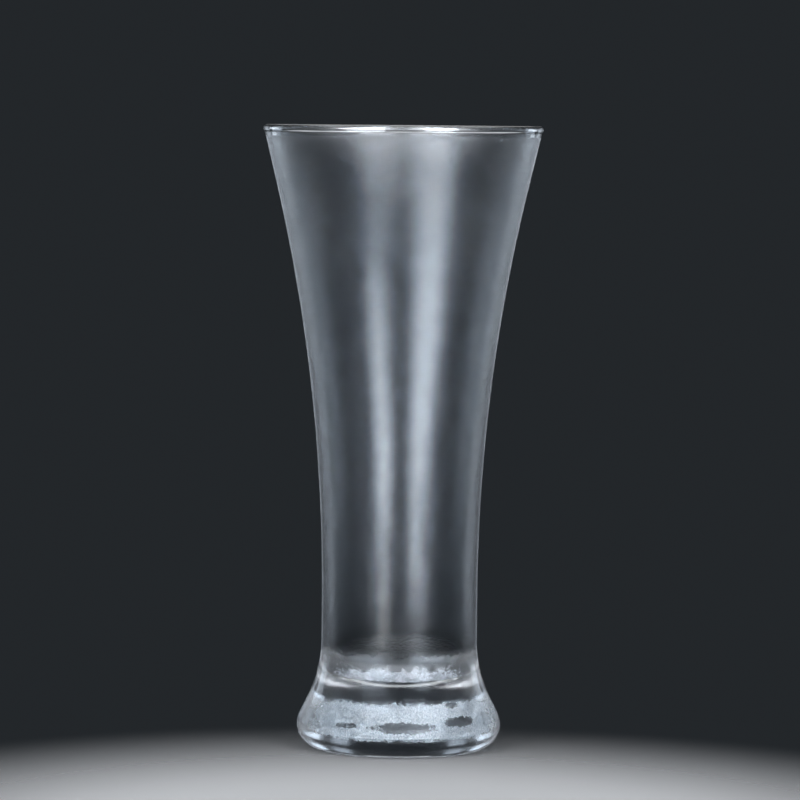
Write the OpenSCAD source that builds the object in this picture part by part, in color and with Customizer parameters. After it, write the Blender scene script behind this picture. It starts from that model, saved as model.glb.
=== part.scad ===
// Flared beer glass on a heavy solid foot, in millimetres.
// +Z is up and the origin is the centre of the base, on the table.
// Every piece is a slice of one revolved glass section: the outside minus the cavity,
// with a rounded lip on top and a shallow hollow under the base.

/* [Overall] */
// Height from the table to the top of the lip
height = 180; // [150:1:220]

/* [Outside] */
// Outer diameter of the wall, carried up to the top of the lip
rim_d = 80.7; // [70:0.1:95]
// Outer diameter at the straight waist, the narrowest place
waist_d = 45; // [40:0.1:50]
// Height of the straight waist
waist_band = 13.5; // [4:0.5:30]
// Length of the straight cone under the lip, along its slope
lip_slant = 17; // [5:0.5:40]

/* [Foot] */
// Diameter at the widest place of the foot
foot_d = 58.9; // [54:0.1:66]
// Radius of the rounded lower edge of the foot
foot_edge_r = 6.7; // [4:0.1:8]
// Length of the straight flank, along its slope
flank_len = 5.5; // [2:0.5:9]
// Radius of the hollow sweep from the flank up to the waist
sweep_r = 37.5; // [25:0.5:50]
// Diameter of the shallow hollow under the base
punt_d = 35; // [20:0.5:40]
// Depth of the shallow hollow under the base
punt_depth = 1.8; // [0.8:0.1:4]

/* [Wall and cavity] */
// Wall thickness at the lip, measured level
rim_wall = 2.05; // [1.4:0.05:3.5]
// Wall thickness at the waist
waist_wall = 2.8; // [1.8:0.05:5]
// Height of the cavity's floor above the table
floor_h = 17.4; // [14:0.1:30]
// Radius of the rounded corner between the floor and the wall
floor_corner_r = 12.4; // [4:0.1:15]

/* [Lip] */
// How far the lip's bead stands out past the outer face of the wall
bead_out = 0.25; // [0.1:0.05:0.8]
// How far the bead stands out past the inner face of the wall
bead_in = 0.06; // [0.02:0.02:0.4]
// Height of the polished lip piece
lip_h = 3.2; // [3:0.1:8]

/* [Pieces] */
// Thickness of the bowl's own floor, down to the flat joint with the foot
bowl_floor_t = 4; // [3:0.5:8]

/* [Hidden] */

// Facets round the glass, and on the section's arcs
$fn = 180;
long_arc_fn = 720;

rim_r = rim_d / 2;
waist_r = waist_d / 2;
foot_r = foot_d / 2;
punt_r = punt_d / 2;
cavity_rim_r = rim_r - rim_wall;
cavity_waist_r = waist_r - waist_wall;

// Foot: the flank touches both the edge circle and the sweep circle
edge_c = [foot_r - foot_edge_r, foot_edge_r];
both_r = foot_edge_r + sweep_r;
flank_a = acos((both_r - (foot_r - waist_r)) / norm([both_r, flank_len])) - atan2(flank_len, both_r);
flank_low = edge_c + foot_edge_r * [cos(flank_a), sin(flank_a)];
flank_high = flank_low + flank_len * [-sin(flank_a), cos(flank_a)];
waist_low_z = foot_edge_r + both_r * sin(flank_a) + flank_len * cos(flank_a);
waist_high_z = waist_low_z + waist_band;

// Flare: one long arc, upright at the waist, that ends in the straight cone
flare_h = height - waist_high_z;
function flare_angle(spread) = 2 * atan2(spread, flare_h + lip_slant);
function flare_radius(a) = (flare_h - lip_slant * cos(a)) / sin(a);

// Lip: a bead that covers the top of the wall and stands a little proud of both faces
lip_a = flare_angle(rim_r - waist_r);
bead_r = (rim_wall * cos(lip_a) + bead_out + bead_in) / 2;
bead_z = height - bead_r;
bead_x = rim_r - (bead_r - bead_out + bead_r * sin(lip_a)) / cos(lip_a);

// Heights where the pieces meet
lip_joint_z = height - lip_h;
foot_joint_z = floor_h - bowl_floor_t;

punt_sphere_r = (punt_r * punt_r + punt_depth * punt_depth) / (2 * punt_depth);

// Half section of a face that leaves the waist upright and flares out to the top
module flare_section(low_r, top_r) {
    a = flare_angle(top_r - low_r);
    r = flare_radius(a);
    arc_end = [low_r + r * (1 - cos(a)), waist_high_z + r * sin(a)];
    difference() {
        polygon([[0, waist_high_z], [low_r, waist_high_z], arc_end, [top_r, height], [0, height]]);
        translate([low_r + r, waist_high_z]) circle(r = r, $fn = long_arc_fn);
    }
}

// Half section of the foot, from the table up to the waist
module foot_section() {
    difference() {
        union() {
            polygon([[0, 0], [edge_c.x, 0], edge_c, flank_low, flank_high, [waist_r, waist_low_z], [0, waist_low_z]]);
            translate(edge_c) circle(r = foot_edge_r);
        }
        translate([waist_r + sweep_r, waist_low_z]) circle(r = sweep_r, $fn = long_arc_fn);
        translate([0, punt_depth - punt_sphere_r]) circle(r = punt_sphere_r, $fn = long_arc_fn);
    }
}

// Half section of the whole outside, below the bead
module outside_section() {
    foot_section();
    translate([0, waist_low_z]) square([waist_r, waist_band]);
    flare_section(waist_r, rim_r);
}

// Half section of the cavity, with its rounded floor corner
module cavity_section() {
    corner_c = [cavity_waist_r - floor_corner_r, floor_h + floor_corner_r];
    translate([0, floor_h]) square([corner_c.x, floor_corner_r]);
    translate(corner_c) circle(r = floor_corner_r);
    translate([0, corner_c.y]) square([cavity_waist_r, waist_high_z - corner_c.y]);
    flare_section(cavity_waist_r, cavity_rim_r);
}

// Half section of the glass between two heights
module glass_between(low_z, high_z) {
    intersection() {
        difference() {
            outside_section();
            cavity_section();
        }
        translate([0, low_z]) square([rim_d, high_z - low_z]);
    }
}

// Fire-polished lip: the clear top of the wall with its rounded bead
module rim_bead() {
    color([0.82, 0.87, 0.91])
    rotate_extrude() {
        glass_between(lip_joint_z, bead_z);
        translate([bead_x, bead_z]) circle(r = bead_r);
    }
}

// Flared bowl: the tapering wall and the floor that holds the drink
module bowl() {
    color([0.64, 0.69, 0.75])
    rotate_extrude() glass_between(foot_joint_z, lip_joint_z);
}

// Heavy solid foot with its rounded edge, contact ring and shallow hollow
module foot() {
    color([0.58, 0.65, 0.71])
    rotate_extrude() glass_between(0, foot_joint_z);
}

rim_bead();
bowl();
foot();
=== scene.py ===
"""Looks of the flared beer glass: one chilled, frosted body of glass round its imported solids."""
import math
import random

import bpy
from mathutils import Matrix, Vector


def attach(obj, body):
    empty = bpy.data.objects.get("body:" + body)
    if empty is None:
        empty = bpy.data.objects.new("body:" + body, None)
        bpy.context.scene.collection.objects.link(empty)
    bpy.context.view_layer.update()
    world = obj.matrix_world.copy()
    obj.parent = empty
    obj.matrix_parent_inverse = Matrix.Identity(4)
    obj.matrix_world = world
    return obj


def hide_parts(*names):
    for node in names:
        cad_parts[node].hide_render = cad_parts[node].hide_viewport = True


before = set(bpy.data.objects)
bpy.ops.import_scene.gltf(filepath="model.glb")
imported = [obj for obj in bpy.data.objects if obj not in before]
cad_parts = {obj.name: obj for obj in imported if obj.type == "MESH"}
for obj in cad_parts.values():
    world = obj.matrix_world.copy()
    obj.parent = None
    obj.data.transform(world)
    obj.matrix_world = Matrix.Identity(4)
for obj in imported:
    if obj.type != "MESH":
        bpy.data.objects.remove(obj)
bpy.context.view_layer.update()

MM = 0.001

# Sizes of the glass, in millimetres
HEIGHT = 180.0
RIM_R = 40.35
WAIST_R = 22.5
WAIST_BAND = 13.5
LIP_SLANT = 17.0
FOOT_R = 29.45
FOOT_EDGE_R = 6.7
FLANK_LEN = 5.5
SWEEP_R = 37.5
HOLLOW_R = 17.5
HOLLOW_DEPTH = 1.8
RIM_WALL = 2.05
WAIST_WALL = 2.8
CAVITY_FLOOR_H = 17.4
CAVITY_CORNER_R = 12.4
BEAD_OUT = 0.25
BEAD_IN = 0.06
LIP_H = 3.2

# Mould line round the widest place of the foot
MOULD_LINE_H = 6.3
MOULD_LINE_HALF = 0.22
MOULD_LINE_OUT = 0.07

# Steps round the glass and along each run of its section
SEGMENTS = 192
HOLLOW_STEPS = 14
BASE_RING_STEPS = 4
FOOT_EDGE_STEPS = 110
FLANK_STEPS = 10
SWEEP_STEPS = 30
WAIST_STEPS = 10
FLARE_STEPS = 60
SLANT_STEPS = 8
BEAD_STEPS = 40
LIP_STEPS = 4
CAVITY_WAIST_STEPS = 12
CORNER_STEPS = 28
FLOOR_STEPS = 8
SAME_POINT = 1e-6

GLASS_IOR = 1.52
WATER_IOR = 1.33
ICE_IOR = 1.31


# Section of the glass


def arc(centre, radius, start, end, steps):
    """Points on a circle from one angle to another, in degrees, both ends included."""
    points = []
    for i in range(steps + 1):
        a = math.radians(start + (end - start) * i / steps)
        points.append((centre[0] + radius * math.cos(a), centre[1] + radius * math.sin(a)))
    return points


def line(start, end, steps):
    """Evenly spaced points on a straight line, both ends included."""
    points = []
    for i in range(steps + 1):
        t = i / steps
        points.append((start[0] + (end[0] - start[0]) * t, start[1] + (end[1] - start[1]) * t))
    return points


def foot_angle_and_waist():
    """Slope of the flank from upright, in degrees, and the height where the waist starts."""
    both = FOOT_EDGE_R + SWEEP_R
    narrowing = FOOT_R - WAIST_R
    a = math.acos((both - narrowing) / math.hypot(both, FLANK_LEN)) - math.atan2(FLANK_LEN, both)
    waist_low = FOOT_EDGE_R + both * math.sin(a) + FLANK_LEN * math.cos(a)
    return math.degrees(a), waist_low


FLANK_A, WAIST_LOW = foot_angle_and_waist()
WAIST_HIGH = WAIST_LOW + WAIST_BAND


def flare(low_r, top_r):
    """Angle and radius of the long arc of one face, in degrees and millimetres."""
    rise = HEIGHT - WAIST_HIGH
    a = 2 * math.atan2(top_r - low_r, rise + LIP_SLANT)
    return math.degrees(a), (rise - LIP_SLANT * math.cos(a)) / math.sin(a)


def base_run():
    """Shallow hollow under the base and the flat ring that the glass stands on."""
    sphere_r = (HOLLOW_R ** 2 + HOLLOW_DEPTH ** 2) / (2 * HOLLOW_DEPTH)
    half = math.degrees(math.asin(HOLLOW_R / sphere_r))
    hollow = arc((0, HOLLOW_DEPTH - sphere_r), sphere_r, 90, 90 - half, HOLLOW_STEPS)
    ring = line((HOLLOW_R, 0), (FOOT_R - FOOT_EDGE_R, 0), BASE_RING_STEPS)
    return hollow + ring


def foot_run():
    """Outside of the foot: rounded edge with its mould line, straight flank and hollow sweep."""
    centre = (FOOT_R - FOOT_EDGE_R, FOOT_EDGE_R)
    edge = []
    for r, z in arc(centre, FOOT_EDGE_R, -90, FLANK_A, FOOT_EDGE_STEPS):
        out = MOULD_LINE_OUT * math.exp(-((z - MOULD_LINE_H) / MOULD_LINE_HALF) ** 2)
        if r < centre[0] + 0.5 * FOOT_EDGE_R:
            out = 0.0
        edge.append((r + out, z))
    a = math.radians(FLANK_A)
    low = (centre[0] + FOOT_EDGE_R * math.cos(a), centre[1] + FOOT_EDGE_R * math.sin(a))
    high = (low[0] - FLANK_LEN * math.sin(a), low[1] + FLANK_LEN * math.cos(a))
    flank = line(low, high, FLANK_STEPS)
    sweep = arc((WAIST_R + SWEEP_R, WAIST_LOW), SWEEP_R, 180 + FLANK_A, 180, SWEEP_STEPS)
    return edge + flank[1:] + sweep[1:]


def wall_runs():
    """Outside of the bowl, the rounded lip, and the inside down to the cavity's floor."""
    out_a, out_r = flare(WAIST_R, RIM_R)
    cavity_rim = RIM_R - RIM_WALL
    cavity_waist = WAIST_R - WAIST_WALL
    in_a, in_r = flare(cavity_waist, cavity_rim)
    tan_out = math.tan(math.radians(out_a))
    tan_in = math.tan(math.radians(in_a))
    lip_low = HEIGHT - LIP_H
    lip_out = (RIM_R - LIP_H * tan_out, lip_low)
    lip_in = (cavity_rim - LIP_H * tan_in, lip_low)

    waist = line((WAIST_R, WAIST_LOW), (WAIST_R, WAIST_HIGH), WAIST_STEPS)
    out_arc = arc((WAIST_R + out_r, WAIST_HIGH), out_r, 180, 180 - out_a, FLARE_STEPS)
    wall = waist + out_arc + line(out_arc[-1], lip_out, SLANT_STEPS)

    a = math.radians(out_a)
    bead_r = (RIM_WALL * math.cos(a) + BEAD_OUT + BEAD_IN) / 2
    bead_x = RIM_R - (bead_r - BEAD_OUT + bead_r * math.sin(a)) / math.cos(a)
    start = -out_a - math.degrees(math.acos(1 - BEAD_OUT / bead_r))
    end = 180 - in_a + math.degrees(math.acos(1 - BEAD_IN / bead_r))
    bead = arc((bead_x, HEIGHT - bead_r), bead_r, start, end, BEAD_STEPS)
    lip = line(lip_out, bead[0], LIP_STEPS) + bead + line(bead[-1], lip_in, LIP_STEPS)

    in_arc = arc((cavity_waist + in_r, WAIST_HIGH), in_r, 180 - in_a, 180, FLARE_STEPS)
    corner = (cavity_waist - CAVITY_CORNER_R, CAVITY_FLOOR_H + CAVITY_CORNER_R)
    in_slant = line(lip_in, in_arc[0], SLANT_STEPS)
    in_waist = line((cavity_waist, WAIST_HIGH), (cavity_waist, corner[1]), CAVITY_WAIST_STEPS)
    inside = in_slant + in_arc + in_waist
    flat = line((corner[0], CAVITY_FLOOR_H), (0, CAVITY_FLOOR_H), FLOOR_STEPS)
    floor = arc(corner, CAVITY_CORNER_R, 0, -90, CORNER_STEPS) + flat[1:]
    return wall, lip, inside, floor


def offset(run, distance):
    """A run moved off the glass, to the side that its normal points to, in millimetres."""
    moved = []
    for i, (r, z) in enumerate(run):
        before = run[max(i - 1, 0)]
        after = run[min(i + 1, len(run) - 1)]
        dr, dz = after[0] - before[0], after[1] - before[1]
        size = math.hypot(dr, dz)
        moved.append((max(r + distance * dz / size, 0.0), z - distance * dr / size))
    return moved


def revolve(name, runs, closed=False):
    """A closed body of revolution. Each run is its points and the number of its material."""
    points = []
    material_of = []
    for run, material in runs:
        for p in run:
            if points and math.hypot(p[0] - points[-1][0], p[1] - points[-1][1]) < SAME_POINT:
                continue
            points.append(p)
            material_of.append(material)
    verts = []
    rings = []
    for r, z in points:
        if r < SAME_POINT:
            rings.append([len(verts)])
            verts.append((0, 0, z * MM))
            continue
        ring = []
        for k in range(SEGMENTS):
            t = 2 * math.pi * k / SEGMENTS
            ring.append(len(verts))
            verts.append((r * math.cos(t) * MM, r * math.sin(t) * MM, z * MM))
        rings.append(ring)
    pairs = [(i, i + 1) for i in range(len(rings) - 1)]
    if closed:
        pairs.append((len(rings) - 1, 0))
    faces = []
    materials = []
    for i, j in pairs:
        low, high = rings[i], rings[j]
        if len(low) == 1 and len(high) == 1:
            continue
        for k in range(SEGMENTS):
            n = (k + 1) % SEGMENTS
            if len(low) == 1:
                faces.append((low[0], high[n], high[k]))
            elif len(high) == 1:
                faces.append((low[k], low[n], high[0]))
            else:
                faces.append((low[k], low[n], high[n], high[k]))
            materials.append(material_of[j])
    return smooth_piece(name, verts, faces, materials)


def smooth_piece(name, verts, faces, materials=None):
    """A smooth-shaded piece from its points and faces, and the number of each face's material."""
    mesh = bpy.data.meshes.new(name)
    mesh.from_pydata(verts, [], faces)
    if materials:
        mesh.polygons.foreach_set("material_index", materials)
    mesh.polygons.foreach_set("use_smooth", [True] * len(faces))
    mesh.validate()
    mesh.update()
    piece = bpy.data.objects.new(name, mesh)
    bpy.context.scene.collection.objects.link(piece)
    return piece


# Nodes


def node(tree, kind, **settings):
    """A node with its settings."""
    made = tree.nodes.new(kind)
    for label, value in settings.items():
        setattr(made, label, value)
    return made


def feed(tree, socket, source):
    """Link a socket, or set it where the source is a plain value."""
    if isinstance(source, bpy.types.NodeSocket):
        tree.links.new(source, socket)
    else:
        socket.default_value = source


def maths(tree, operation, first, second=0.0, clamp=False):
    """One step of arithmetic."""
    made = node(tree, "ShaderNodeMath", operation=operation, use_clamp=clamp)
    feed(tree, made.inputs[0], first)
    feed(tree, made.inputs[1], second)
    return made.outputs[0]


def without(tree, mask):
    """What a mask leaves uncovered."""
    return maths(tree, "SUBTRACT", 1.0, mask)


def largest(tree, masks):
    """The largest of several masks."""
    most = masks[0]
    for mask in masks[1:]:
        most = maths(tree, "MAXIMUM", most, mask)
    return most


def smooth_step(tree, value, low, high, to_low=0.0, to_high=1.0):
    """A soft step from one value to another."""
    made = node(tree, "ShaderNodeMapRange", interpolation_type="SMOOTHSTEP")
    feed(tree, made.inputs["Value"], value)
    feed(tree, made.inputs["From Min"], low)
    feed(tree, made.inputs["From Max"], high)
    feed(tree, made.inputs["To Min"], to_low)
    feed(tree, made.inputs["To Max"], to_high)
    return made.outputs["Result"]


def spread(tree, value, to_low, to_high):
    """Stretch a 0 to 1 value over another range."""
    made = node(tree, "ShaderNodeMapRange")
    feed(tree, made.inputs["Value"], value)
    feed(tree, made.inputs["To Min"], to_low)
    feed(tree, made.inputs["To Max"], to_high)
    return made.outputs["Result"]


def noise(tree, vector, scale, detail=3.0, roughness=0.55):
    """Soft random noise, 0 to 1."""
    made = node(tree, "ShaderNodeTexNoise")
    feed(tree, made.inputs["Vector"], vector)
    feed(tree, made.inputs["Scale"], scale)
    feed(tree, made.inputs["Detail"], detail)
    feed(tree, made.inputs["Roughness"], roughness)
    return made.outputs["Fac"]


def colour_mix(tree, share, first, second):
    """The first colour where the share is 0, the second where it is 1."""
    made = node(tree, "ShaderNodeMix", data_type="RGBA")
    feed(tree, made.inputs[0], share)
    for socket, source in ((made.inputs[6], first), (made.inputs[7], second)):
        feed(tree, socket, source if isinstance(source, bpy.types.NodeSocket) else (*source, 1))
    return made.outputs[2]


def number_mix(tree, share, first, second):
    """The first number where the share is 0, the second where it is 1."""
    made = node(tree, "ShaderNodeMix", data_type="FLOAT")
    feed(tree, made.inputs[0], share)
    feed(tree, made.inputs[2], first)
    feed(tree, made.inputs[3], second)
    return made.outputs[0]


def place_on_piece(tree):
    """Places on a piece, in metres."""
    return node(tree, "ShaderNodeTexCoord").outputs["Object"]


def height_of(tree, place):
    """Height of a place above the table, in metres."""
    split = node(tree, "ShaderNodeSeparateXYZ")
    feed(tree, split.inputs[0], place)
    return split.outputs["Z"]


def wave_about(tree, wave, reach):
    """A 0 to 1 noise as a shift to both sides."""
    return maths(tree, "MULTIPLY", maths(tree, "SUBTRACT", wave, 0.5), reach)


# Node groups that several finishes share

GRAIN_STEP = (0.3, 0.7)
BAND_WAVE = 4.0
SPOT_WAVE = 3.0
SPOT_WAVE_SCALE = 800.0
SPOT_EDGE = (0.6, 1.25)


def new_group(name, inputs, outputs):
    """An empty shader group with named number or vector sockets."""
    group = bpy.data.node_groups.new(name, "ShaderNodeTree")
    for label, kind, value in inputs:
        socket = group.interface.new_socket(name=label, in_out="INPUT", socket_type=kind)
        socket.default_value = value
    for label, kind in outputs:
        group.interface.new_socket(name=label, in_out="OUTPUT", socket_type=kind)
    start = group.nodes.new("NodeGroupInput")
    end = group.nodes.new("NodeGroupOutput")
    return group, start, end


def frost_grain_group():
    """Fine crystals and soft clouds of frost, from places on the glass in metres."""
    group, start, end = new_group(
        "frost_grain",
        [("Crystal Scale", "NodeSocketFloat", 2600.0), ("Cloud Scale", "NodeSocketFloat", 90.0)],
        [("Crystals", "NodeSocketFloat"), ("Clouds", "NodeSocketFloat"), ("Height", "NodeSocketFloat")],
    )
    place = place_on_piece(group)
    crystals = noise(group, place, start.outputs["Crystal Scale"], 2.0, 0.6)
    clouds = noise(group, place, start.outputs["Cloud Scale"], 4.0, 0.6)
    feed(group, end.inputs["Crystals"], smooth_step(group, crystals, *GRAIN_STEP))
    feed(group, end.inputs["Clouds"], smooth_step(group, clouds, *GRAIN_STEP))
    feed(group, end.inputs["Height"], crystals)
    return group


def frost_band_group():
    """Cover of frost between two heights, with ragged melted edges."""
    group, start, end = new_group(
        "frost_band",
        [
            ("Low", "NodeSocketFloat", 0.0),
            ("High", "NodeSocketFloat", 0.1),
            ("Soft Low", "NodeSocketFloat", 0.001),
            ("Soft High", "NodeSocketFloat", 0.001),
            ("Ragged", "NodeSocketFloat", 0.001),
            ("Ragged Scale", "NodeSocketFloat", 300.0),
        ],
        [("Cover", "NodeSocketFloat")],
    )
    place = place_on_piece(group)
    wave = noise(group, place, start.outputs["Ragged Scale"], 6.0, 0.72)
    shift = wave_about(group, wave, start.outputs["Ragged"])
    height = maths(group, "ADD", height_of(group, place), maths(group, "MULTIPLY", shift, BAND_WAVE))

    def edge(level, soft, to_low, to_high):
        """A soft step in height about one of the two levels."""
        low = maths(group, "SUBTRACT", start.outputs[level], start.outputs[soft])
        high = maths(group, "ADD", start.outputs[level], start.outputs[soft])
        return smooth_step(group, height, low, high, to_low, to_high)

    rise = edge("Low", "Soft Low", 0.0, 1.0)
    fall = edge("High", "Soft High", 1.0, 0.0)
    feed(group, end.inputs["Cover"], maths(group, "MULTIPLY", rise, fall))
    return group


def melt_spot_group():
    """One patch with a ragged outline."""
    group, start, end = new_group(
        "melt_spot",
        [
            ("Centre", "NodeSocketVector", (0, 0, 0)),
            ("Half Size", "NodeSocketVector", (0.005, 0.005, 0.001)),
            ("Ragged", "NodeSocketFloat", 0.8),
        ],
        [("Melted", "NodeSocketFloat")],
    )
    place = place_on_piece(group)
    away = node(group, "ShaderNodeVectorMath", operation="SUBTRACT")
    feed(group, away.inputs[0], place)
    feed(group, away.inputs[1], start.outputs["Centre"])
    scaled = node(group, "ShaderNodeVectorMath", operation="DIVIDE")
    feed(group, scaled.inputs[0], away.outputs[0])
    feed(group, scaled.inputs[1], start.outputs["Half Size"])
    length = node(group, "ShaderNodeVectorMath", operation="LENGTH")
    feed(group, length.inputs[0], scaled.outputs[0])
    shift = wave_about(group, noise(group, place, SPOT_WAVE_SCALE, 5.0, 0.75), start.outputs["Ragged"])
    reach = maths(group, "ADD", length.outputs["Value"], maths(group, "MULTIPLY", shift, SPOT_WAVE))
    feed(group, end.inputs["Melted"], smooth_step(group, reach, *SPOT_EDGE, 1.0, 0.0))
    return group


FROST_GRAIN = frost_grain_group()
FROST_BAND = frost_band_group()
MELT_SPOT = melt_spot_group()


def use_group(tree, group, **values):
    """A group placed in a material, with its own values."""
    made = node(tree, "ShaderNodeGroup", node_tree=group)
    for label, value in values.items():
        feed(tree, made.inputs[label.replace("_", " ")], value)
    return made


def frost_grain(tree, scales):
    """Crystals, clouds and relief of frost at one finish's scales."""
    made = use_group(tree, FROST_GRAIN, Crystal_Scale=scales[0], Cloud_Scale=scales[1])
    return made.outputs["Crystals"], made.outputs["Clouds"], made.outputs["Height"]


def frost_band(tree, heights, soft, ragged):
    """Frost between two heights, with how soft and how ragged its edges are."""
    return use_group(
        tree, FROST_BAND,
        Low=heights[0], High=heights[1],
        Soft_Low=soft[0], Soft_High=soft[1],
        Ragged=ragged[0], Ragged_Scale=ragged[1],
    ).outputs["Cover"]


def melt_spot(tree, centre, half_size, ragged):
    """One ragged patch, from its centre and half sizes in millimetres."""
    return use_group(
        tree, MELT_SPOT,
        Centre=[c * MM for c in centre],
        Half_Size=[h * MM for h in half_size],
        Ragged=ragged,
    ).outputs["Melted"]


# Finishes

# Colours of the glass, its frost, mist and melt water, and of the painted shade on the foot, in the cavity
# and on reflections
COOL_GLASS = (0.925, 0.965, 1.0)
# Painted shade: the foot's glass is darkened, and darker still near the table
FOOT_SHADE_GLASS = (0.80, 0.84, 0.88)
BASE_SHADE_GLASS = (0.50, 0.53, 0.56)
# Painted shade: a dark ring in the cavity, low on the inside wall and high on the corner
DARK_RING_SHADE = (0.12, 0.135, 0.15)
# Painted shade: the colour that the foot's melted patches are darkened to
PATCH_SHADE = (0.05, 0.06, 0.07)
MELT_WATER = (0.97, 0.985, 1.0)
FROST_TINT = (0.84, 0.91, 1.0)
# Painted shade: a dark tint that dims the reflections on the foot and the low wall
SHINE_SHADE_TINT = (0.15, 0.17, 0.19)
WALL_GRAIN = ((0.80, 0.84, 0.88), (1.0, 1.0, 1.0))
FOOT_GRAIN = ((0.22, 0.26, 0.30), (1.0, 1.0, 1.0))
ICE_TONES = ((0.57, 0.72, 0.86), (0.71, 0.84, 0.96))
MIST_TONES = ((0.84, 0.89, 0.95), (0.94, 0.96, 1.0))

# Roughness, from the thinnest to the thickest clouds where it is a pair
WALL_FROST_ROUGH = (0.158, 0.186)
WALL_BARE_ROUGH = 0.16
FOOT_BARE_ROUGH = (0.13, 0.2)
FOOT_FROST_ROUGH = 0.42
LIP_ROUGH = (0.02, 0.06)
INSIDE_ROUGH = (0.03, 0.08)
CLEAR_FLOOR_ROUGH = 0.05
MISTED_ROUGH = (0.42, 0.6)
FILM_ROUGH = (0.6, 0.9)
WATER_ROUGH = (0.0, 0.04)

# Sheen of the frost: weight and roughness
WALL_SHEEN = (0.6, 0.25)
FOOT_SHEEN = (0.4, 0.2)

# Shine of the lip: roughness and index of its coat
LIP_COAT = (0.3, 1.8)

# Noise scales of the crystals and clouds of each finish, per metre
WALL_SCALES = (1900.0, 110.0)
FOOT_SCALES = (2200.0, 160.0)
LIP_SCALES = (420.0, 60.0)
INSIDE_SCALES = (1800.0, 120.0)
FLOOR_SCALES = (1400.0, 220.0)
FILM_SCALES = (1900.0, 260.0)
WATER_SCALES = (900.0, 200.0)

# Relief of each finish: strength, and depth in metres
FROST_RELIEF = (1.0, 0.00008)
LIP_RELIEF = (0.1, 0.00005)
INSIDE_RELIEF = (0.05, 0.00004)
FLOOR_RELIEF = (0.3, 0.00004)
FILM_RELIEF = (1.0, 0.0002)

# Bands of frost in metres: lowest and highest, softness of each edge, raggedness and its noise scale
WALL_FROST = ((0.0262, 0.1766), (0.0042, 0.0012), (0.0020, 1100.0))
FOOT_FROST = ((0.0058, 0.0155), (0.0012, 0.0021), (0.0009, 420.0))
WALL_FROST_ON_FOOT = 0.5

# Heights in metres over which one finish, or a painted shade, gives way to another
# Painted shade: heights over which the wall's dimmed reflections come back to full
SHINE_SHADE_HEIGHTS = (0.030, 0.056)
# Painted shade: heights over which the foot's glass darkens towards the table
BASE_SHADE_HEIGHTS = (0.0045, 0.0070)
BREATH = (0.164, 0.173)
LOW_MIST = (0.0290, 0.0330)
# Painted shade: heights of the dark ring in the cavity
DARK_RING_LOW = (0.0245, 0.0268)
DARK_RING_HIGH = (0.0298, 0.0345)
MIST_THINNING = (0.0235, 0.0297)
BREATH_ROUGH = 0.12
LOW_MIST_ROUGH = 0.08
MIST_LEFT_AT_TOP = 0.45

# Lower edge of the mist on the cavity's corner, in metres
MIST_LOW = (0.0201, 0.0209)
MIST_EDGE_WAVE = 0.0012
MIST_EDGE_SCALE = 500.0

# Melted patches on the foot: azimuth from the front, height, half width, half height, share melted. The
# patches of the first set are also painted dark as shade.
SHADED_MELT_SPOTS = (
    (3, 9.3, 11.0, 1.9, 0.8),
    (-30, 9.5, 4.5, 0.9, 0.75),
    (38, 10.5, 6.0, 1.6, 0.85),
    (35, 14.9, 2.6, 0.9, 0.7),
    (100, 9.8, 6.0, 1.0, 0.9),
    (150, 13.0, 3.5, 0.9, 0.8),
    (248, 11.0, 4.0, 1.1, 0.9),
)
CLEAR_SPOTS = ((180, 9.0, 16.0, 3.2, 0.95),)
FOOT_SPOT_RAGGED = 0.6
# How strongly the melted patches are painted dark as shade
PATCH_SHADE_GAIN = 1.25

# Thick frost on the front of the foot, and the share of it that the rest of the foot has
THICK_FROST = ((2.0, -29.0, 11.5), (26.0, 36.0, 16.0), 0.3)
THIN_FROST = 0.30

# Mist on the cavity's floor, and the wet spots in it: place across and along, half size
FLOOR_MIST = ((0.0, -11.5, 20.5), (16.5, 12.5, 6.0), 0.45)
WET_SPOTS = ((-1.0, -18.4, 1.6), (2.6, -18.2, 1.0), (-9.0, -16.2, 1.6), (8.5, -16.4, 1.2))
WET_SPOT_H = 24.7
WET_SPOT_HALF_H = 1.2
WET_SPOT_RAGGED = 1.0

# Films of frost and mist
CRYSTAL_EDGE = 0.8
CLOUD_DENSITY = (0.5, 1.2)


def new_material(name):
    """A material with its node tree and its shader."""
    material = bpy.data.materials.new(name)
    material.use_nodes = True
    return material, material.node_tree, material.node_tree.nodes["Principled BSDF"]


def set_glass(shader, colour, ior=GLASS_IOR):
    """Clear glass or water of one colour."""
    shader.inputs["Base Color"].default_value = (*colour, 1)
    shader.inputs["IOR"].default_value = ior
    shader.inputs["Transmission Weight"].default_value = 1.0


def set_sheen(shader, sheen):
    """Pale edge that frost shows at a low angle."""
    shader.inputs["Sheen Weight"].default_value = sheen[0]
    shader.inputs["Sheen Roughness"].default_value = sheen[1]
    shader.inputs["Sheen Tint"].default_value = (*FROST_TINT, 1)


def bump(tree, shader, height, relief):
    """Relief of a finish, from its strength and depth."""
    made = node(tree, "ShaderNodeBump")
    made.inputs["Strength"].default_value = relief[0]
    made.inputs["Distance"].default_value = relief[1]
    feed(tree, made.inputs["Height"], height)
    feed(tree, shader.inputs["Normal"], made.outputs["Normal"])


def frost_colour(tree, shader, bare, grains, crystals, cover):
    """Colour of the glass: even where it is bare, mottled crystal by crystal where frost covers it."""
    mottled = colour_mix(tree, crystals, *grains)
    feed(tree, shader.inputs["Base Color"], colour_mix(tree, cover, bare, mottled))


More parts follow.
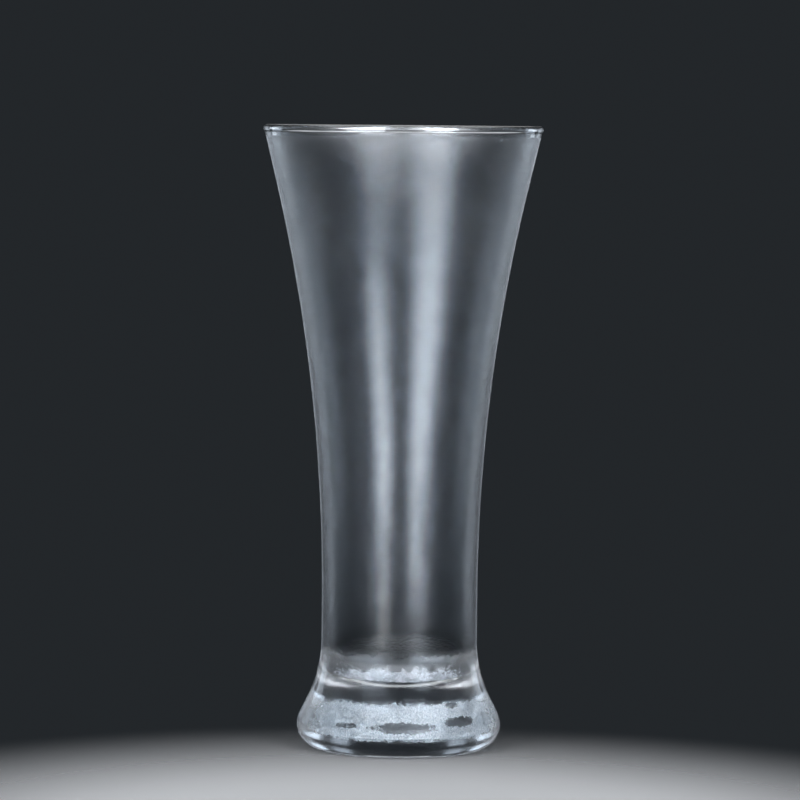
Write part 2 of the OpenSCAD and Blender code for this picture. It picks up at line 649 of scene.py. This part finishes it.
def frosted_wall():
    """Bowl outside: even frost that thins out to bare glass above the foot and under the lip."""
    material, tree, shader = new_material("frosted_wall")
    set_glass(shader, COOL_GLASS)
    set_sheen(shader, WALL_SHEEN)
    height = height_of(tree, place_on_piece(tree))
    # Painted shade: the wall's reflections are dimmed low down, above the foot
    shine = colour_mix(tree, smooth_step(tree, height, *SHINE_SHADE_HEIGHTS), SHINE_SHADE_TINT, FROST_TINT)
    feed(tree, shader.inputs["Specular Tint"], shine)
    crystals, clouds, relief = frost_grain(tree, WALL_SCALES)
    cover = frost_band(tree, *WALL_FROST)
    frost_colour(tree, shader, COOL_GLASS, WALL_GRAIN, crystals, cover)
    frosted = spread(tree, clouds, *WALL_FROST_ROUGH)
    feed(tree, shader.inputs["Roughness"], number_mix(tree, cover, WALL_BARE_ROUGH, frosted))
    bump(tree, shader, maths(tree, "MULTIPLY", relief, cover), FROST_RELIEF)
    return material


def foot_radius(height):
    """Outside radius of the foot at a height, read off its own run."""
    return min(foot_run(), key=lambda p: abs(p[1] - height))[0]


def foot_melt(tree, spots):
    """How far the frost on the foot has melted, patch by patch."""
    masks = []
    for azimuth, height, half_width, half_height, share in spots:
        a = math.radians(azimuth)
        r = foot_radius(height)
        centre = (r * math.sin(a), -r * math.cos(a), height)
        spot = melt_spot(tree, centre, (half_width, half_width, half_height), FOOT_SPOT_RAGGED)
        masks.append(maths(tree, "MULTIPLY", spot, share))
    return largest(tree, masks)


def foot_cover(tree):
    """Frost left on the foot: a band with ragged edges, less its melted patches, thickest in front."""
    melted = foot_melt(tree, SHADED_MELT_SPOTS + CLEAR_SPOTS)
    kept = maths(tree, "MULTIPLY", frost_band(tree, *FOOT_FROST), without(tree, melted))
    thick = melt_spot(tree, *THICK_FROST)
    return maths(tree, "MULTIPLY", kept, spread(tree, thick, THIN_FROST, 1.0))


def foot_glass():
    """Heavy foot: clear glass darkened by painted shade, most near the table, rough where frost is left on
    it, painted dark as shade in its melted patches, and with its reflections dimmed by painted shade.
    """
    material, tree, shader = new_material("foot_glass")
    set_glass(shader, FOOT_SHADE_GLASS)
    set_sheen(shader, FOOT_SHEEN)
    # Painted shade: the foot's reflections are dimmed
    shader.inputs["Specular Tint"].default_value = (*SHINE_SHADE_TINT, 1)
    crystals, clouds, relief = frost_grain(tree, FOOT_SCALES)
    foot_frost = foot_cover(tree)
    wall_frost = maths(tree, "MULTIPLY", frost_band(tree, *WALL_FROST), WALL_FROST_ON_FOOT)
    cover = maths(tree, "MAXIMUM", foot_frost, wall_frost)
    height = height_of(tree, place_on_piece(tree))
    # Painted shade: the foot's glass is darkened, most of all near the table
    body = colour_mix(tree, smooth_step(tree, height, *BASE_SHADE_HEIGHTS), BASE_SHADE_GLASS, FOOT_SHADE_GLASS)
    # Painted shade: the melted patches are darkened
    patch_shade_share = maths(tree, "MULTIPLY", foot_melt(tree, SHADED_MELT_SPOTS), PATCH_SHADE_GAIN, True)
    bare = colour_mix(tree, patch_shade_share, body, PATCH_SHADE)
    frost_colour(tree, shader, bare, FOOT_GRAIN, crystals, foot_frost)
    smooth = spread(tree, clouds, *FOOT_BARE_ROUGH)
    feed(tree, shader.inputs["Roughness"], number_mix(tree, cover, smooth, FOOT_FROST_ROUGH))
    bump(tree, shader, maths(tree, "MULTIPLY", relief, cover), FROST_RELIEF)
    return material


def polished_lip():
    """Fire-polished lip: clear, with the faint unevenness that the burner leaves."""
    material, tree, shader = new_material("polished_lip")
    set_glass(shader, COOL_GLASS)
    clouds = frost_grain(tree, LIP_SCALES)[1]
    feed(tree, shader.inputs["Roughness"], spread(tree, clouds, *LIP_ROUGH))
    shader.inputs["Coat Weight"].default_value = 1.0
    shader.inputs["Coat Roughness"].default_value = LIP_COAT[0]
    shader.inputs["Coat IOR"].default_value = LIP_COAT[1]
    bump(tree, shader, clouds, LIP_RELIEF)
    return material


def smooth_inside():
    """Inside of the bowl: smooth, with a breath of mist under the lip and a ring of painted shade above the
    corner.
    """
    material, tree, shader = new_material("smooth_inside")
    set_glass(shader, COOL_GLASS)
    _, clouds, relief = frost_grain(tree, INSIDE_SCALES)
    height = height_of(tree, place_on_piece(tree))
    # Painted shade: a dark ring low on the inside wall
    ring = colour_mix(tree, smooth_step(tree, height, *DARK_RING_HIGH), DARK_RING_SHADE, COOL_GLASS)
    feed(tree, shader.inputs["Base Color"], ring)
    breath = smooth_step(tree, height, *BREATH, 0.0, BREATH_ROUGH)
    low_mist = smooth_step(tree, height, *LOW_MIST, LOW_MIST_ROUGH, 0.0)
    misted = maths(tree, "ADD", breath, low_mist)
    clear = spread(tree, clouds, *INSIDE_ROUGH)
    feed(tree, shader.inputs["Roughness"], maths(tree, "ADD", clear, misted))
    bump(tree, shader, relief, INSIDE_RELIEF)
    return material


def above_corner(tree):
    """One above the bright bottom turn of the cavity's corner, nothing on the clear floor below it."""
    place = place_on_piece(tree)
    wave = wave_about(tree, noise(tree, place, MIST_EDGE_SCALE), MIST_EDGE_WAVE)
    return smooth_step(tree, maths(tree, "ADD", height_of(tree, place), wave), *MIST_LOW)


def misted_floor():
    """Floor and corner of the cavity: clear below, misted above, with a ring of painted shade at the top."""
    material, tree, shader = new_material("misted_floor")
    set_glass(shader, COOL_GLASS)
    _, clouds, relief = frost_grain(tree, FLOOR_SCALES)
    height = height_of(tree, place_on_piece(tree))
    # Painted shade: a dark ring high on the cavity's corner
    ring = colour_mix(tree, smooth_step(tree, height, *DARK_RING_LOW), COOL_GLASS, DARK_RING_SHADE)
    feed(tree, shader.inputs["Base Color"], ring)
    thinning = smooth_step(tree, height, *MIST_THINNING, 1.0, MIST_LEFT_AT_TOP)
    cover = maths(tree, "MULTIPLY", above_corner(tree), thinning)
    misted = spread(tree, clouds, *MISTED_ROUGH)
    feed(tree, shader.inputs["Roughness"], number_mix(tree, cover, CLEAR_FLOOR_ROUGH, misted))
    bump(tree, shader, relief, FLOOR_RELIEF)
    return material


def floor_cover(tree):
    """Mist on the cavity's floor: one thick ragged patch, with wet spots where it has run together."""
    masks = []
    for x, y, half in WET_SPOTS:
        half_size = (half, half, WET_SPOT_HALF_H)
        masks.append(melt_spot(tree, (x, y, WET_SPOT_H), half_size, WET_SPOT_RAGGED))
    patch = melt_spot(tree, *FLOOR_MIST)
    kept = maths(tree, "MULTIPLY", patch, without(tree, largest(tree, masks)))
    return maths(tree, "MULTIPLY", kept, above_corner(tree))


def frost_film(name, cover_of, tones, density, sparkle):
    """A thin pale film of ice that breaks up into single crystals where its cover is thin."""
    material, tree, shader = new_material(name)
    crystals, clouds, relief = frost_grain(tree, FILM_SCALES)
    feed(tree, shader.inputs["Base Color"], colour_mix(tree, clouds, *tones))
    feed(tree, shader.inputs["Roughness"], spread(tree, crystals, *FILM_ROUGH))
    shader.inputs["IOR"].default_value = ICE_IOR
    cover = cover_of(tree)
    start = spread(tree, cover, 1.0, -CRYSTAL_EDGE)
    left = smooth_step(tree, crystals, start, maths(tree, "ADD", start, CRYSTAL_EDGE))
    by_crystal = spread(tree, crystals, *density)
    by_cloud = spread(tree, clouds, *CLOUD_DENSITY)
    edge = maths(tree, "MULTIPLY", cover, without(tree, cover))
    by_edge = maths(tree, "ADD", 1.0, maths(tree, "MULTIPLY", edge, sparkle))
    thickness = maths(tree, "MULTIPLY", maths(tree, "MULTIPLY", by_crystal, by_cloud), by_edge)
    feed(tree, shader.inputs["Alpha"], maths(tree, "MULTIPLY", thickness, left, True))
    bump(tree, shader, relief, FILM_RELIEF)
    return material


def melt_water():
    """Small beads of melt water."""
    material, tree, shader = new_material("melt_water")
    set_glass(shader, MELT_WATER, WATER_IOR)
    clouds = frost_grain(tree, WATER_SCALES)[1]
    feed(tree, shader.inputs["Roughness"], spread(tree, clouds, *WATER_ROUGH))
    return material


# Pieces

WALL_RUN, LIP_RUN, INSIDE_RUN, FLOOR_RUN = wall_runs()
FOOT_RUN = foot_run()
WALL_FINISH_LOW = 25.0

# Films: heights that they cover, distance off the glass and thickness, in millimetres.
# The mist lies in the glass, just under the skin of the cavity.
FILM_THICKNESS = 0.03
FOOT_FILM_HEIGHTS = (3.0, 19.5)
FOOT_FILM_GAP = 0.02
FOOT_FILM_DENSITY = (0.015, 0.085)
FOOT_FILM_SPARKLE = 2.5
MIST_FILM_TOP = 28.0
MIST_FILM_GAP = -0.06
MIST_FILM_DENSITY = (0.45, 0.9)
MIST_FILM_SPARKLE = 0.0

glass = revolve(
    "glass",
    [
        (base_run(), 0),
        ([p for p in FOOT_RUN if p[1] < WALL_FINISH_LOW], 0),
        ([p for p in FOOT_RUN if p[1] >= WALL_FINISH_LOW], 1),
        (WALL_RUN, 1),
        (LIP_RUN, 2),
        (INSIDE_RUN, 3),
        (FLOOR_RUN, 4),
    ],
)
for finish in (foot_glass(), frosted_wall(), polished_lip(), smooth_inside(), misted_floor()):
    glass.data.materials.append(finish)
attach(glass, "root")
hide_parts("rim_bead", "bowl", "foot")


def film(name, run, gap, material):
    """A film of frost on the skin of the glass, closed all round."""
    skin = offset(run, gap + FILM_THICKNESS) + list(reversed(offset(run, gap)))
    piece = revolve(name, [(skin, 0)], closed=True)
    piece.data.materials.append(material)
    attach(piece, "root")


film(
    "foot_frost",
    [p for p in FOOT_RUN if FOOT_FILM_HEIGHTS[0] < p[1] < FOOT_FILM_HEIGHTS[1]],
    FOOT_FILM_GAP,
    frost_film("foot_frost", foot_cover, ICE_TONES, FOOT_FILM_DENSITY, FOOT_FILM_SPARKLE),
)
film(
    "floor_mist",
    [p for p in FLOOR_RUN if p[1] < MIST_FILM_TOP],
    MIST_FILM_GAP,
    frost_film("floor_mist", floor_cover, MIST_TONES, MIST_FILM_DENSITY, MIST_FILM_SPARKLE),
)

# Beads of water: sides and rings of each dome, its rise and how far it is sunk, as shares of its radius
BEAD_SIDES = 10
BEAD_RINGS = 3
BEAD_RISE = 0.55
BEAD_SINK = 0.12
BEAD_SEED = 11
SMALL_BEADS = 2.5
FLAT_FLOOR_H = 18.0

# Where the beads are: run, lowest and highest place, how many, smallest and largest radius
BEAD_ZONES = (
    (FOOT_RUN, 15.5, 18.6, 80, 0.10, 0.32),
    (FOOT_RUN, 3.0, 7.0, 16, 0.10, 0.25),
    (WALL_RUN, 31.5, 60.0, 45, 0.08, 0.2),
    (WALL_RUN, 60.0, 172.0, 70, 0.07, 0.17),
    (FLOOR_RUN, 17.3, 26.0, 40, 0.12, 0.36),
)


def bead_of_water(verts, faces, place, normal, radius):
    """One low dome of water, sunk a little into what carries it."""
    n = Vector(normal).normalized()
    across = n.orthogonal().normalized()
    along = n.cross(across)
    sink = BEAD_SINK * radius
    first = len(verts)
    for j in range(BEAD_RINGS):
        a = 0.5 * math.pi * j / BEAD_RINGS
        for k in range(BEAD_SIDES):
            t = 2 * math.pi * k / BEAD_SIDES
            side = across * math.cos(t) + along * math.sin(t)
            rise = BEAD_RISE * radius * math.sin(a) - sink
            verts.append(place + side * radius * math.cos(a) + n * rise)
    top = len(verts)
    verts.append(place + n * (BEAD_RISE * radius - sink))
    for j in range(BEAD_RINGS - 1):
        for k in range(BEAD_SIDES):
            m = (k + 1) % BEAD_SIDES
            low, high = first + j * BEAD_SIDES, first + (j + 1) * BEAD_SIDES
            faces.append((low + k, low + m, high + m, high + k))
    last = first + (BEAD_RINGS - 1) * BEAD_SIDES
    for k in range(BEAD_SIDES):
        faces.append((last + k, last + (k + 1) % BEAD_SIDES, top))
    faces.append(tuple(first + k for k in reversed(range(BEAD_SIDES))))


def water_beads():
    """Beads of water on the foot, the wall and the cavity's floor."""
    rng = random.Random(BEAD_SEED)
    verts, faces = [], []
    for run, low, high, count, small, large in BEAD_ZONES:
        for _ in range(count):
            height = rng.uniform(low, high)
            t = rng.uniform(0, 2 * math.pi)
            radius = small + (large - small) * rng.random() ** SMALL_BEADS
            i = min(range(len(run)), key=lambda n: abs(run[n][1] - height))
            share = rng.random()
            if run is FLOOR_RUN and height < FLAT_FLOOR_H:
                i = rng.randrange(len(run) - FLOOR_STEPS - 1, len(run) - 1)
            i = min(max(i, 1), len(run) - 2)
            r = run[i][0] + (run[i + 1][0] - run[i][0]) * share
            z = run[i][1] + (run[i + 1][1] - run[i][1]) * share
            dr, dz = run[i + 1][0] - run[i][0], run[i + 1][1] - run[i][1]
            normal = (dz * math.cos(t), dz * math.sin(t), -dr)
            place = Vector((r * math.cos(t) * MM, r * math.sin(t) * MM, z * MM))
            bead_of_water(verts, faces, place, normal, radius * MM)
    piece = smooth_piece("water_beads", [tuple(v) for v in verts], faces)
    piece.data.materials.append(melt_water())
    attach(piece, "root")


water_beads()


# Stage

FLOOR_COLOUR = (0.25, 0.2525, 0.255)
FLOOR_ROUGH = 0.8
FLOOR_HALF = 1.0
FLOOR_CENTRE = (0.0, -0.145, 0.0)
FLOOR_PLAIN_R = 0.07
FLOOR_FADE_R = 0.19
BACKDROP = (0.017, 0.02, 0.023)

LAMP_AIM = (0, 0, 0.09)
LAMP_DISTANCE = 1.0
PLAIN_LAMP = (1, 1, 1)
STRIP_LAMP = (0.97, 0.995, 1.04)
COOL_LAMP = (0.83, 0.93, 1.05)

# Soft lamps: azimuth from the camera's side and elevation in degrees, width and height in metres,
# how bright the face is, and its colour
LAMPS = (
    ("left_strip_high", -36.5, 15.6, 0.64, 0.18, 18.8, STRIP_LAMP),
    ("left_strip", -31.5, 5.4, 0.58, 0.18, 18.8, STRIP_LAMP),
    ("left_strip_low", -25, -4.5, 0.28, 0.14, 6.5, PLAIN_LAMP),
    ("left_strip_top", -35, 25.0, 0.58, 0.17, 8.8, STRIP_LAMP),
    ("right_strip_high", 33.5, 14.6, 0.34, 0.205, 30, STRIP_LAMP),
    ("right_strip", 28.6, 3.0, 0.42, 0.205, 31.5, STRIP_LAMP),
    ("top_left", -26, 37.5, 0.60, 0.17, 14.5, STRIP_LAMP),
    ("top_right", 25.5, 37.0, 0.54, 0.18, 15, STRIP_LAMP),
    ("front_overhead", 0, 60, 1.2, 0.3, 1.2, PLAIN_LAMP),
    ("overhead", 180, 78, 1.5, 0.7, 1.2, PLAIN_LAMP),
    ("back_top", 180, 38.5, 0.50, 0.58, 0.85, PLAIN_LAMP),
    ("left_edge", -132, 5, 0.32, 0.36, 2.1, COOL_LAMP),
    ("right_edge", 132, 5, 0.32, 0.36, 2.1, COOL_LAMP),
    ("left_rim", -155, 5, 0.17, 0.36, 0.6, COOL_LAMP),
    ("right_rim", 155, 5, 0.17, 0.36, 0.6, COOL_LAMP),
)


def pale_floor():
    """Plain floor that fades into the dark backdrop."""
    mesh = bpy.data.meshes.new("floor")
    half = FLOOR_HALF
    corners = [(-half, -half, 0), (half, -half, 0), (half, half, 0), (-half, half, 0)]
    mesh.from_pydata(corners, [], [(0, 1, 2, 3)])
    obj = bpy.data.objects.new("floor", mesh)
    bpy.context.scene.collection.objects.link(obj)
    material, tree, shader = new_material("pale_floor")
    shader.inputs["Base Color"].default_value = (*FLOOR_COLOUR, 1)
    shader.inputs["Roughness"].default_value = FLOOR_ROUGH
    length = node(tree, "ShaderNodeVectorMath", operation="DISTANCE")
    feed(tree, length.inputs[0], place_on_piece(tree))
    feed(tree, length.inputs[1], FLOOR_CENTRE)
    fade = smooth_step(tree, length.outputs["Value"], FLOOR_PLAIN_R, FLOOR_FADE_R)
    mix = node(tree, "ShaderNodeMixShader")
    feed(tree, mix.inputs[0], fade)
    feed(tree, mix.inputs[1], shader.outputs["BSDF"])
    feed(tree, mix.inputs[2], node(tree, "ShaderNodeBsdfTransparent").outputs["BSDF"])
    feed(tree, tree.nodes["Material Output"].inputs["Surface"], mix.outputs["Shader"])
    mesh.materials.append(material)


def softbox(name, azimuth, elevation, width, height, level, colour):
    """A soft lamp aimed at the glass."""
    a, e = math.radians(azimuth), math.radians(elevation)
    way = Vector((math.sin(a) * math.cos(e), -math.cos(a) * math.cos(e), math.sin(e)))
    lamp = bpy.data.lights.new(name, "AREA")
    lamp.shape = "RECTANGLE"
    lamp.color = colour
    lamp.size = width
    lamp.size_y = height
    lamp.energy = level * math.pi * width * height
    obj = bpy.data.objects.new(name, lamp)
    obj.location = Vector(LAMP_AIM) + way * LAMP_DISTANCE
    obj.rotation_euler = (-way).to_track_quat("-Z", "Y").to_euler()
    bpy.context.scene.collection.objects.link(obj)


pale_floor()
for lamp_row in LAMPS:
    softbox(*lamp_row)

world = bpy.data.worlds.new("studio")
bpy.context.scene.world = world
world.use_nodes = True
world.node_tree.nodes["Background"].inputs["Color"].default_value = (*BACKDROP, 1)

CAMERA_PLACE = (-0.00036, -1.18, 0.18)
CAMERA_PITCH = 3.842
CAMERA_ROLL = 0.5
FOCAL_PX = 4092.3
IMAGE_PX = 800
SENSOR_MM = 36

lens = bpy.data.cameras.new("camera")
lens.sensor_width = SENSOR_MM
lens.lens = SENSOR_MM * FOCAL_PX / IMAGE_PX
camera = bpy.data.objects.new("camera", lens)
camera.matrix_world = (
    Matrix.Translation(CAMERA_PLACE)
    @ Matrix.Rotation(math.radians(90 - CAMERA_PITCH), 4, "X")
    @ Matrix.Rotation(math.radians(CAMERA_ROLL), 4, "Z")
)
bpy.context.scene.collection.objects.link(camera)
bpy.context.scene.camera = camera
bpy.context.scene.view_settings.view_transform = "Standard"
